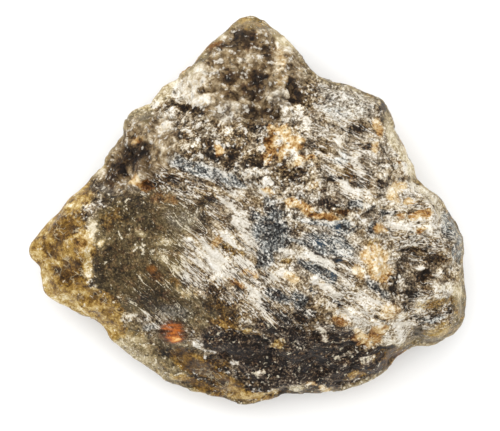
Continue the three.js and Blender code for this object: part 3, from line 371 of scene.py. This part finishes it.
def facets(points, size, slope, seed):
    """Broken facets about size across, each tilted its own way, with small cliffs between them."""
    scaled = points / size
    home = np.floor(scaled)
    nearest = np.full(len(points), np.inf)
    height = np.zeros(len(points))
    for offset in np.ndindex(3, 3, 3):
        cell = home + offset - 1
        centre = cell + np.stack([hashed(cell, seed + axis) for axis in range(3)], axis=1)
        away = scaled - centre
        distance = (away**2).sum(axis=1)
        tilt = np.stack([hashed(cell, seed + 3 + axis) for axis in range(3)], axis=1) - 0.5
        closer = distance < nearest
        nearest[closer] = distance[closer]
        height[closer] = ((away * tilt).sum(axis=1) * 2 * slope * size)[closer]
    return height


def along_grain(points, degrees, stretch):
    """The points turned so that X runs along the grain, and pressed together along it."""
    a = math.radians(degrees)
    x, y, z = points.T
    along = x * math.cos(a) + y * math.sin(a)
    across = y * math.cos(a) - x * math.sin(a)
    return np.stack([along / stretch, across, z], axis=1)


def smoothstep(values, low, high):
    t = np.clip((values - low) / (high - low), 0, 1)
    return t * t * (3 - 2 * t)


# ---------- the surface


def new_object(name, data):
    made = bpy.data.objects.new(name, data)
    bpy.context.scene.collection.objects.link(made)
    return made


def remeshed(node):
    """A new mesh of the node's surface, made of even squares."""
    copy = new_object("remesh", node.data.copy())
    modifier = copy.modifiers.new("even", "REMESH")
    modifier.mode = "VOXEL"
    modifier.voxel_size = VOXEL * MM
    graph = bpy.context.evaluated_depsgraph_get()
    mesh = bpy.data.meshes.new_from_object(copy.evaluated_get(graph))
    bpy.data.objects.remove(copy)
    mesh.materials.clear()
    return mesh


def rows_of(items, name, width, kind=float):
    """An array with a row of numbers for each of a mesh's vertices, normals or edges."""
    flat = np.empty(len(items) * width, dtype=kind)
    items.foreach_get(name, flat)
    return flat.reshape(-1, width)


def normals_of(mesh):
    return rows_of(mesh.vertex_normals, "vector", 3)


def set_points(mesh, points):
    mesh.vertices.foreach_set("co", (points * MM).ravel())
    mesh.update()


def neighbour_mean(values, edges):
    """Each vertex's mean of a value over its neighbours."""
    count = len(values)
    a, b = edges.T
    degree = np.bincount(a, minlength=count) + np.bincount(b, minlength=count)
    columns = values.reshape(count, -1).T
    sums = [np.bincount(a, c[b], count) + np.bincount(b, c[a], count) for c in columns]
    return (np.stack(sums, axis=1) / degree[:, None]).reshape(values.shape)


def ellipse(points, x, y, half_length, half_width, turn):
    """1 in the middle of an ellipse, 0 on its edge and beyond."""
    a = math.radians(turn)
    dx, dy = points[:, 0] - x, points[:, 1] - y
    along = (dx * math.cos(a) + dy * math.sin(a)) / half_length
    across = (dy * math.cos(a) - dx * math.sin(a)) / half_width
    return np.clip(FULLNESS * (1 - along**2 - across**2), 0, 1)


def wandered(points):
    """The points moved about a little, so that what is drawn through them has ragged edges."""
    (wide, far), (narrow, near) = WANDER
    moves = [
        far * noise(points, wide, seed) + near * noise(points, narrow, seed + 3) for seed in (11, 12, 13)
    ]
    return points + np.stack(moves, axis=1)


def relief(points, marks, grain, facing):
    """How far the broken surface stands out of the smooth one, in millimetres."""
    plain = 1 - sum(grain.values())
    bent = points + 0.6 * (wandered(points) - points)
    rough = smoothstep(layered_noise(points, ROUGHNESS_SIZE, seed=71, layers=2), -0.7, 0.7)
    chips = (0.5 + 0.7 * rough) * facets(bent, *CHIPS, seed=31)
    crumbs = rough * facets(points, *CRUMBS, seed=41)
    total = facets(bent, *BLOCKS, seed=21) + plain * (chips + crumbs)
    for number, (name, (degrees, _)) in enumerate(GRAIN.items()):
        here = grain[name] > 0
        broad = along_grain(bent[here], degrees, SHARD_STRETCH)
        shards = facets(broad, *SHARDS, seed=51 + 10 * number)
        thin = along_grain(bent[here], degrees, SPLINTER_STRETCH)
        splinters = facets(thin, *SPLINTERS, seed=101 + 10 * number)
        total[here] += grain[name][here] * (shards + rough[here] * splinters)
    worn = np.clip(np.maximum(marks["glass"] * (0.3 + 0.7 * facing), 0.8 * marks["honey"]), 0, 1)
    lumps = layered_noise(points, LUMP_SIZE, seed=81, layers=2)
    lumps = LUMP_HEIGHT * lumps * np.clip(marks["honey"], 0, 1)
    swell = np.full(len(points), SIDE_SWELL)
    for x, y, radius, height in SWELLINGS:
        swell += height * smoothstep(np.hypot(points[:, 0] - x, points[:, 1] - y), radius, 0)
    broken = (total * (1 - WORN * worn) + lumps) * (SIDE_RELIEF + (1 - SIDE_RELIEF) * facing)
    return broken + swell * (1 - facing)


def drawn_on_top(points):
    """Each mark's strength from the patches. Only the copper flash, a painted sheen, has no ragged edge.
    """
    ragged = wandered(points)
    marks = {name: np.zeros(len(points)) for name in MARKS}
    for x, y, half_length, half_width, turn, tone, *others in PATCHES:
        strengths = dict(*others, tone=tone)
        drawn = points if "copper_sheen" in strengths else ragged
        here = ellipse(drawn, x, y, half_length, half_width, turn)
        for name, strength in strengths.items():
            marks[name] += strength * here
    return marks


def clouded(points):
    """Each mark's strength on the underside."""
    marks = {}
    for number, name in enumerate(MARKS):
        cloud = layered_noise(points, CLOUD_SIZE, seed=200 + 10 * number)
        begin, full, strength = UNDERSIDE.get(name, (0, 1, 0))
        marks[name] = strength * smoothstep(cloud, begin, full)
        if name == "tone":
            marks[name] = CLOUD_TONE * cloud + UNDERSIDE_TONE
    return marks


def paint(points, upward):
    """Each mark's strength at each point of the stone."""
    upper = smoothstep(upward + 0.15 * noise(points, 3.0, seed=7), *RIM_BAND)
    steep = 1 - smoothstep(upward + 0.1 * noise(points, 2.0, seed=8), *STEEP_BAND)
    wall = 1 - smoothstep(upward + 0.1 * noise(points, 2.0, seed=9), *WALL_BAND)
    above = drawn_on_top(points)
    below = clouded(wandered(points * CLOUD_SHAPE))
    marks = {}
    for name in MARKS:
        # On steep rims the weathered skin's colour, lightened as painted light shining through the thin
        # edges.
        skin = steep * WEATHERED_SKIN_AND_RIM_LIGHT.get(name, 0.0) + WALL_CLOUDS * wall * below[name]
        kept = 1 - wall * (GLASSY_FADE if name in ("honey", "glass") else WALL_FADE)
        marks[name] = upper * (above[name] * kept + skin) + (1 - upper) * below[name]
    return marks


def grain_weights(points):
    """How much of each grain direction shows at each point; together they reach at most 1."""
    drawn = wandered(points)
    found = {
        name: np.clip(sum(ellipse(drawn, *place) for place in places), 0, 1)
        for name, (_, places) in GRAIN.items()
    }
    total = np.maximum(sum(found.values()), 1)
    return {name: weight / total for name, weight in found.items()}


def build_stone():
    mesh = remeshed(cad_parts[STONE])
    edges = rows_of(mesh.edges, "vertices", 2, np.int32)
    points = rows_of(mesh.vertices, "co", 3) / MM
    lifted = smoothstep(points[:, 2], *BASE_MARGIN)
    for _ in range(SMOOTHING):
        moved = 0.5 * (neighbour_mean(points, edges) - points)
        points = points + moved * lifted[:, None]
    set_points(mesh, points)
    upward = normals_of(mesh)[:, 2]
    for _ in range(RIM_BLEND):
        upward = neighbour_mean(upward, edges)
    marks = paint(points, upward)
    grain = grain_weights(points)
    height = relief(points, marks, grain, smoothstep(abs(upward), *LEVEL_BAND)) * lifted
    height = 0.5 * (height + neighbour_mean(height, edges))
    around = height
    for _ in range(SURROUNDINGS):
        around = neighbour_mean(around, edges)
    points = points + normals_of(mesh) * height[:, None]
    points[:, 2] = np.maximum(points[:, 2], 0)
    set_points(mesh, points)
    attributes = {**marks, **{"grain_" + name: weight for name, weight in grain.items()}}
    # How far each point stands above the relief around it, which the paint turns into painted light and
    # shade.
    attributes["raised"] = np.clip((height - around) / FULLY_RAISED, -1, 1)
    for name, values in attributes.items():
        layer = mesh.attributes.new(name, "FLOAT", "POINT")
        layer.data.foreach_set("value", values.astype(np.float32))
    return new_object("stone", mesh)


# ---------- materials

REFLECTANCE = 0.84  # of what looks white under the studio's lights
GAMMA = 2.2


def linear(colour):
    """What a surface sends back, as linear light, for a colour as it looks under the studio's lights."""
    return [REFLECTANCE * (c / 255) ** GAMMA for c in colour]


class Nodes:
    """A material's node tree, with short calls for the nodes that this script uses."""

    def __init__(self, name):
        self.material = bpy.data.materials.new(name)
        self.material.use_nodes = True
        self.tree = self.material.node_tree
        self.shader = self.tree.nodes["Principled BSDF"]

    def put(self, inputs, node):
        """Links a node's inputs, or sets them to plain values."""
        for name, value in inputs.items():
            if isinstance(value, bpy.types.NodeSocket):
                self.tree.links.new(value, node.inputs[name])
            else:
                node.inputs[name].default_value = value

    def node(self, kind, inputs, **settings):
        node = self.tree.nodes.new("ShaderNode" + kind)
        for name, value in settings.items():
            setattr(node, name, value)
        self.put(inputs, node)
        return node

    def math(self, operation, a, b=0.0, clamp=False):
        return self.node("Math", {0: a, 1: b}, operation=operation, use_clamp=clamp).outputs[0]

    def softly(self, operation, value, limit, distance):
        """A value held above (SMOOTH_MAX) or below (SMOOTH_MIN) a limit, with no sudden turn."""
        return self.node("Math", {0: value, 1: limit, 2: distance}, operation=operation).outputs[0]

    def add(self, *terms):
        total = terms[0]
        for term in terms[1:]:
            total = self.math("ADD", total, term)
        return total

    def times(self, a, b, *others):
        product = self.math("MULTIPLY", a, b)
        return self.times(product, *others) if others else product

    def weighed(self, values, gains):
        """Each named value times its gain."""
        return [self.times(values[name], gain) for name, gain in gains.items()]

    def without(self, value):
        """What is left of 1."""
        return self.math("SUBTRACT", 1.0, value)

    def centred(self, value, gain):
        """A value from 0 to 1 turned into one about 0."""
        return self.times(self.math("SUBTRACT", value, 0.5), gain)

    def held(self, value, low, high):
        return self.math("MAXIMUM", self.math("MINIMUM", value, high), low)

    def between(self, value, low, high):
        """0 up to low, 1 from high on, and smooth between them."""
        inputs = {"Value": value, "From Min": low, "From Max": high}
        return self.node("MapRange", inputs, interpolation_type="SMOOTHSTEP").outputs["Result"]

    def attribute(self, name):
        return self.node("Attribute", {}, attribute_name=name).outputs["Fac"]

    def places(self):
        """Places on the stone, in millimetres, but pressed together in height."""
        metres = self.node("TexCoord", {}).outputs["Object"]
        inputs = {"Vector": metres, "Scale": (MM, MM, MM / PRESSED)}
        return self.node("Mapping", inputs, vector_type="TEXTURE").outputs["Vector"]

    def turned(self, vector, degrees, stretch, shift=0.0):
        """The places with X along the grain and pressed together there, moved by shift."""
        turn = (0, 0, math.radians(degrees))
        inputs = {"Vector": vector, "Rotation": turn, "Scale": (stretch, 1, 1), "Location": [shift] * 3}
        return self.node("Mapping", inputs, vector_type="TEXTURE").outputs["Vector"]

    def moved(self, vector, shift):
        """The places moved, so that a pattern drawn there is a new one."""
        return self.turned(vector, 0, 1, shift)

    def bent(self, vector, scale, amount):
        """The places pushed about by noise, so that patterns drawn there don't run straight."""
        noise = self.node("TexNoise", {"Vector": vector, "Scale": scale, "Detail": 3})
        inputs = {0: noise.outputs["Color"], 1: [0.5] * 3}
        centred = self.node("VectorMath", inputs, operation="SUBTRACT").outputs[0]
        inputs = {0: centred, 1: [amount] * 3, 2: vector}
        return self.node("VectorMath", inputs, operation="MULTIPLY_ADD").outputs[0]

    def noise(self, vector, scale, detail, roughness, dimensions="3D"):
        """Noise from 0 to 1."""
        inputs = {"Vector": vector, "Scale": scale, "Detail": detail, "Roughness": roughness}
        return self.node("TexNoise", inputs, noise_dimensions=dimensions).outputs["Fac"]

    def cells(self, vector, scale, gain):
        """A random number about 0 for each cell of a broken pattern."""
        colour = self.node("TexVoronoi", {"Vector": vector, "Scale": scale}).outputs["Color"]
        return self.centred(self.node("SeparateColor", {"Color": colour}).outputs[0], gain)

    def lines(self, value, level, width):
        """1 along the curling lines where noise is at a level, down to 0 at a width from it."""
        away = self.math("ABSOLUTE", self.math("SUBTRACT", value, level))
        return self.math("SUBTRACT", 1.0, self.math("DIVIDE", away, width), clamp=True)

    def ramp(self, value, stops):
        node = self.node("ValToRGB", {"Fac": value})
        elements = node.color_ramp.elements
        while len(elements) < len(stops):
            elements.new(0.5)
        for element, (position, colour) in zip(elements, stops):
            element.position = position
            element.color = (*linear(colour), 1)
        return node.outputs["Color"]

    def mix(self, amount, under, over):
        """A colour laid over another. The one on top may be plain numbers."""
        if not isinstance(over, bpy.types.NodeSocket):
            over = (*linear(over), 1)
        inputs = {"Factor": amount, "A": under, "B": over}
        return self.node("Mix", inputs, data_type="RGBA").outputs["Result"]

    def bump(self, height, distance, strength):
        inputs = {"Height": height, "Distance": distance * MM, "Strength": strength}
        return self.node("Bump", inputs).outputs["Normal"]


# Colours from darkest to lightest, with their places on a tone from 0 to 1.
EARTH = [(0, (21, 14, 7)), (0.2, (58, 44, 28)), (0.4, (103, 84, 58)), (0.6, (151, 132, 102)),
         (0.8, (208, 193, 166)), (1, (248, 243, 230))]
GREY = [(0, (20, 17, 14)), (0.2, (56, 51, 45)), (0.4, (98, 91, 81)), (0.6, (147, 140, 128)),
        (0.8, (205, 199, 188)), (1, (250, 248, 244))]
OLIVE = [(0, (19, 14, 6)), (0.25, (57, 47, 28)), (0.5, (101, 87, 58)), (0.7, (146, 129, 91)),
         (0.85, (187, 170, 130)), (1, (230, 219, 190))]
OCHRE = [(0, (58, 35, 15)), (0.25, (128, 82, 36)), (0.45, (178, 137, 80)), (0.62, (208, 178, 126)),
         (0.8, (230, 212, 176)), (1, (246, 238, 221))]
SLATE = [(0, (24, 24, 25)), (0.25, (66, 68, 68)), (0.5, (118, 121, 119)), (0.75, (178, 179, 174)),
         (1, (240, 240, 237))]
HONEY = [(0, (48, 32, 11)), (0.25, (98, 70, 27)), (0.45, (144, 110, 46)), (0.65, (180, 148, 78)),
         (0.85, (214, 192, 138)), (1, (242, 232, 206))]
# Colours of the dark lower face, whose low tone there is partly painted shade.
DARK_FACE_AND_SHADE = [(0, (18, 13, 10)), (0.25, (55, 45, 40)), (0.5, (99, 85, 73)), (0.75, (152, 137, 118)),
        (1, (232, 222, 204))]
# The copper flash, a painted sheen.
FLASH = [(0, (66, 44, 26)), (0.3, (124, 66, 30)), (0.55, (184, 100, 38)), (0.75, (226, 146, 60)),
         (1, (254, 208, 130))]
PALE = [(0, (164, 156, 140)), (0.5, (212, 205, 191)), (1, (243, 240, 234))]
CREAM = (218, 203, 166)
DIRT = (36, 27, 18)
# The blue flash, a painted sheen.
BLUE_SHEEN = (50, 74, 92)


# Colours laid over the plain stone, in this order, as (mark where the colour begins, mark where it is
# full, how thick it is there, its ramp).
LAYERS = {
    # The first layer is the dark lower face, partly its own colour and partly painted shade.
    "dark_face_and_shade": (0.1, 0.7, 0.85, DARK_FACE_AND_SHADE), "slate": (0.1, 1.1, 0.9, SLATE), "honey": (0.1, 1.0, 0.92, HONEY),
}
OCHRE_EDGE = (-0.1, 1.2)
BLUE_SHEEN_EDGE = (0.1, 1.2)
DARK_BAND = (0.3, 0.65)  # tones between which the painted blue sheen fades
FLASH_BAND = (0.0, 0.55)
# How thick the other colours lie.
THICKNESS = {
    "grey": 0.5, "olive": 0.9, "ochre": 0.92, "blue_sheen": 0.55, "curls": 0.55, "flecks": 0.88, "dust": 0.8,
    "dirt": 0.65, "flash": 0.9,
}

# Strengths at which what a mark changes begins and is full.
BANDS = {
    "glass": (0.1, 0.9), "honey": (0.5, 1.3), "coarse": (0.1, 0.9), "dark_face_and_shade": (0.2, 1.0),
    "slate": (0.2, 1.0), "ochre": (0.2, 1.2),
}

# Noises of the paint, as (lumps to a millimetre, finer layers, how strong each of these is).
GRIT = (3.2, 2, 0.8)
PATCHY = (0.8, 2, 0.6)
LOOSE_FLECKS = (1.3, 2, 0.6)
LOOSE_PITS = (1.1, 2, 0.6)
STREAKS = (1.2, 3, 0.7)
DRIFT = (1.3, 2, 0.45)
MOTTLE = (0.35, 4, 0.65)
CLOUDS = (0.7, 3, 0.65)
RAGGED = (0.9, 4, 0.75)
GREYED = (0.3, 4, 0.65)
CURLING = (0.4, 2, 0.6)
CURLS = (0.8, 2, 0.6)
DUST = (4.2, 1, 0.5)
STRIPES = (3.4, 2, 0.7)

# Levels of some of them, where what they draw begins and is full.
GREYED_BAND = (0.4, 0.58)
CURLING_BAND = (0.42, 0.6)
DUST_BAND = (0.65, 0.75)
STRIPE_BAND = (0.34, 0.66)

# Broken patterns, as (cells to a millimetre, how strongly they show).
GRAINS = (1.6, 0.26)
FINE_GRAINS = (2.9, 0.26)
FLAKES = (2.6, 0.1)
SHARD_CELLS = (2.4, 0.22)
THREAD_CELLS = (3.0, 0.1)
PANES = (0.55, 0.45)

# Waves that bend the patterns and the threads, as (waves to a millimetre, how far they reach).
BENDS = (0.4, 0.9)
SWEEPS = (0.22, 1.2)

PRESSED = 0.7  # what heights count for in these, so that they run down the steep faces
SHARD_LENGTH = 3.5  # how many times as long as wide painted shards and threads are
THREAD_LENGTH = 9.0
DUST_GRAIN = (-32, 1.4)  # degrees that dust and stripes are turned, and how long for their width
STRIPE_GRAIN = (3, 5.0)
THREAD_LEVELS = (0.48, 0.6)  # of the noise whose level lines are the pale threads
THREAD_WIDTH = 0.07
CURL_WIDTH = 0.04
MIDDLE_TONE = 0.455
TONE_LIMITS = (-1.3, 1.4)  # of the mark, since its patches lie over one another
WHITE_LIMITS = (-1.0, 1.2)
TONE_GAIN = 0.42
DARKEST = (0.1, 0.4)  # the base tone's lower limit, and how softly it is kept
LIGHTEST = (0.86, 0.3)
FLECK_LEVEL = 0.56  # of the noise, where flecks and pits begin
FLECK_FULL = 0.66

# How much more grit there is, how much thicker pale flecks lie and how much fuller of dirt pits are
# where each of these is strong.
GRIT_GAINS = {"slate": 0.8, "dark_face_and_shade": 0.5, "ochre": -0.7}
# The gains of "raised" lay pale flecks on raised points and dark pits in sunk ones, as painted light and
# shade of the relief.
FLECK_GAINS = {
    "white": 0.09, "light": 0.05, "grit": 0.25, "raised": 0.015, "smooth": -0.07, "stain": -0.05,
    "honey": -0.04,
}
PIT_GAINS = {"light": -0.04, "white": -0.04, "raised": -0.015, "smooth": -0.05, "honey": -0.06}


def stone_material():
    n = Nodes("labradorite")
    marks = {name: n.attribute(name) for name in [*MARKS, "raised"]}
    grain = {name: n.attribute("grain_" + name) for name in GRAIN}
    places = n.places()
    bent = n.bent(places, *BENDS)
    plain = n.math("SUBTRACT", 1.0, n.add(*grain.values()), clamp=True)
    here = {name: n.between(marks[name], *band) for name, band in BANDS.items()}
    glass, honey, dark_face_and_shade, coarse = (here[name] for name in ("glass", "honey", "dark_face_and_shade", "coarse"))
    smooth = n.math("MAXIMUM", glass, honey)
    clear = n.without(n.times(smooth, 0.5))
    keen = n.without(n.times(coarse, 0.8))

    # The grain: patches and fine specks, in one light and dark tone, in pale flecks and in dark pits.
    grit = n.times(n.centred(n.noise(places, *GRIT), 1.0), keen)
    patches = n.centred(n.noise(bent, *PATCHY), 1.15)
    patches = n.times(patches, n.without(n.times(coarse, 0.25)))
    grains = n.add(n.cells(bent, *GRAINS), n.times(n.cells(places, *FINE_GRAINS), keen))
    loose = n.add(n.noise(n.moved(places, 31), *LOOSE_FLECKS), n.cells(places, *FLAKES))
    tones = [n.times(n.add(patches, grains), plain)]
    flecks = [n.times(loose, plain)]
    pits = [n.times(n.noise(n.moved(places, 67), *LOOSE_PITS), plain)]
    # Where the grain has a direction it is drawn out into shards and threads.
    swept = n.bent(places, *SWEEPS)
    for number, (name, (degrees, _)) in enumerate(GRAIN.items()):
        shards = n.turned(bent, degrees, SHARD_LENGTH, 10 * number)
        threads = n.turned(swept, degrees, THREAD_LENGTH, 10 * number + 5)
        streaks = n.noise(shards, *STREAKS)
        drawn_out = n.add(n.centred(streaks, 1.3), n.cells(shards, *SHARD_CELLS))
        drift = n.noise(threads, *DRIFT)
        lines = n.math("MAXIMUM", *(n.lines(drift, level, THREAD_WIDTH) for level in THREAD_LEVELS))
        fibres = n.add(0.42, n.times(lines, 0.25), n.cells(threads, *THREAD_CELLS))
        tones.append(n.times(drawn_out, grain[name]))
        flecks.append(n.times(fibres, grain[name]))
        pits.append(n.times(n.without(streaks), grain[name]))
    speckle = n.add(*tones, n.times(grit, n.add(1.55, *n.weighed(here, GRIT_GAINS))))

    light = n.held(marks["tone"], *TONE_LIMITS)
    mottle = n.centred(n.noise(n.moved(bent, 12), *MOTTLE), 0.5)
    panes = n.times(n.cells(bent, *PANES), dark_face_and_shade)
    clouds = n.times(n.centred(n.noise(n.moved(bent, 48), *CLOUDS), 1.6), honey)
    # The dark lower face's term holds it darker still, as painted shade.
    # Held away from black and white, so that the specks show everywhere.
    base = n.add(MIDDLE_TONE, n.times(light, TONE_GAIN), mottle, panes, clouds, n.times(dark_face_and_shade, -0.13))
    base = n.softly("SMOOTH_MAX", base, *DARKEST)
    base = n.softly("SMOOTH_MIN", base, *LIGHTEST)
    # Raised points of the relief are painted lighter and sunk ones darker: painted light and shade.
    tone = n.add(base, n.times(n.add(speckle, n.times(marks["raised"], 0.06)), clear))

    ragged = n.add(n.centred(n.noise(n.moved(bent, 90), *RAGGED), 2.0), n.times(grit, 0.8))

    def edge(name, begin, full):
        """How full a mark's colour is, with a ragged edge."""
        return n.between(n.add(marks[name], ragged), begin, full)

    greyed = n.times(n.between(n.noise(places, *GREYED), *GREYED_BAND), keen)
    colour = n.mix(n.times(greyed, THICKNESS["grey"]), n.ramp(tone, EARTH), n.ramp(tone, GREY))
    colour = n.mix(n.times(glass, THICKNESS["olive"]), colour, n.ramp(tone, OLIVE))
    for name, (begin, full, thickness, ramp) in LAYERS.items():
        colour = n.mix(n.times(edge(name, begin, full), thickness), colour, n.ramp(tone, ramp))
    stain = edge("ochre", *OCHRE_EDGE)
    stained = n.ramp(n.add(tone, n.times(stain, -0.08)), OCHRE)
    colour = n.mix(n.times(stain, THICKNESS["ochre"]), colour, stained)
    dark = n.without(n.between(tone, *DARK_BAND))
    # The blue flash, painted sheen, laid on the darker tones.
    colour = n.mix(n.times(edge("blue_sheen", *BLUE_SHEEN_EDGE), dark, THICKNESS["blue_sheen"]), colour, BLUE_SHEEN)

    # Thin cream curls in the honey.
    curling = n.between(n.noise(n.moved(bent, 21), *CURLING), *CURLING_BAND)
    curls = n.times(n.lines(n.noise(n.moved(places, 23), *CURLS), 0.5, CURL_WIDTH), curling)
    curls = n.times(n.times(curls, n.times(honey, THICKNESS["curls"])), n.without(glass))
    colour = n.mix(curls, colour, CREAM)

    # Pale flecks and white bruises, thick where they are marked and few on the glassy face.
    white = n.held(marks["white"], *WHITE_LIMITS)
    strong = {**here, "white": white, "light": light, "grit": grit, "raised": marks["raised"]}
    strong.update(smooth=smooth, stain=stain)
    level = n.add(*flecks, *n.weighed(strong, FLECK_GAINS))
    begin = n.add(FLECK_LEVEL, n.times(coarse, -0.02))
    full = n.add(FLECK_FULL, n.times(coarse, 0.06))
    pale = n.ramp(n.add(0.55, n.times(speckle, 0.6)), PALE)
    pale = n.mix(n.times(n.math("MAXIMUM", smooth, dark_face_and_shade), 0.6), pale, CREAM)
    fleck = n.between(level, begin, full)
    colour = n.mix(n.times(fleck, THICKNESS["flecks"]), colour, pale)
    # Specks no bigger than a tenth of a millimetre or two, which show most on the dark faces.
    dust = n.between(n.noise(n.turned(places, *DUST_GRAIN, shift=7), *DUST), *DUST_BAND)
    dusty = n.times(n.math("MAXIMUM", glass, dark_face_and_shade), THICKNESS["dust"])
    colour = n.mix(n.times(dust, dusty), colour, n.ramp(n.add(tone, 0.36), EARTH))
    # Dark dirt in the pits.
    sunk = n.add(*pits, *n.weighed(strong, PIT_GAINS))
    pit = n.between(sunk, begin, full)
    colour = n.mix(n.times(pit, THICKNESS["dirt"]), colour, DIRT)

    # The copper flash, painted sheen: soft stripes across it, brightest in the middle.
    stripes = n.between(n.noise(n.turned(places, *STRIPE_GRAIN), *STRIPES, "2D"), *STRIPE_BAND)
    flash = n.times(marks["copper_sheen"], n.add(0.62, n.times(stripes, 0.45), n.times(grit, 0.7)))
    shown = n.between(flash, *FLASH_BAND)
    colour = n.mix(n.times(shown, THICKNESS["flash"]), colour, n.ramp(flash, FLASH))

    surface = {
        "Base Color": colour,
        "Roughness": n.add(0.7, n.times(smooth, -0.3), n.times(speckle, 0.1)),
        "IOR": 1.56,
        "Specular IOR Level": 0.14,
        "Normal": n.bump(n.times(n.add(speckle, level), clear), distance=0.08, strength=0.6),
    }
    n.put(surface, n.shader)
    return n.material


def floor_material():
    n = Nodes("pale_floor")
    surface = {"Base Color": (0.92, 0.92, 0.915, 1), "Roughness": 0.9, "Specular IOR Level": 0.2}
    n.put(surface, n.shader)
    return n.material


# ---------- floor, light and camera

FLOOR_SIZE = 4.0  # this, the lights' sizes and their places are in metres
LIGHT_SIZE = 0.8
LIGHTS = {"key": ((-0.12, 0.24, 0.62), 4.2), "fill": ((0.3, -0.22, 0.6), 1.2)}  # places and watts
SURROUNDING_LIGHT = 0.86

MM_PER_PIXEL = 0.14188  # the photograph's scale at the stone's rim
PHOTO_WIDTH = 500
RIM_HEIGHT = 10.0
VIEW_CENTRE = (0.355, -0.851)
CAMERA_HEIGHT = 900.0  # over the rim
SENSOR = 36.0


def build_floor():
    bpy.ops.mesh.primitive_plane_add(size=FLOOR_SIZE)
    floor = bpy.context.object
    floor.name = "floor"
    floor.data.materials.append(floor_material())


def build_light(name, place, power):
    """A square light that points at the stone."""
    data = bpy.data.lights.new(name, "AREA")
    data.size = LIGHT_SIZE
    data.energy = power
    light = new_object(name, data)
    light.location = place
    light.rotation_euler = (-light.location).to_track_quat("-Z", "Y").to_euler()


def build_stage():
    build_floor()
    world = bpy.data.worlds.new("studio")
    world.use_nodes = True
    background = world.node_tree.nodes["Background"]
    background.inputs["Color"].default_value = (1, 1, 1, 1)
    background.inputs["Strength"].default_value = SURROUNDING_LIGHT
    bpy.context.scene.world = world
    for name, (place, power) in LIGHTS.items():
        build_light(name, place, power)
    bpy.context.scene.view_settings.view_transform = "Standard"


def build_camera():
    data = bpy.data.cameras.new("camera")
    data.sensor_width = SENSOR
    data.lens = SENSOR * CAMERA_HEIGHT / (PHOTO_WIDTH * MM_PER_PIXEL)
    data.clip_start = 0.01
    data.clip_end = 10
    camera = new_object("camera", data)
    x, y = VIEW_CENTRE
    camera.location = (x * MM, y * MM, (RIM_HEIGHT + CAMERA_HEIGHT) * MM)
    bpy.context.scene.camera = camera


# ---------- the scene

build_camera()
build_stage()
stone = build_stone()
stone.data.materials.append(stone_material())
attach(stone, "root")
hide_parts(STONE)
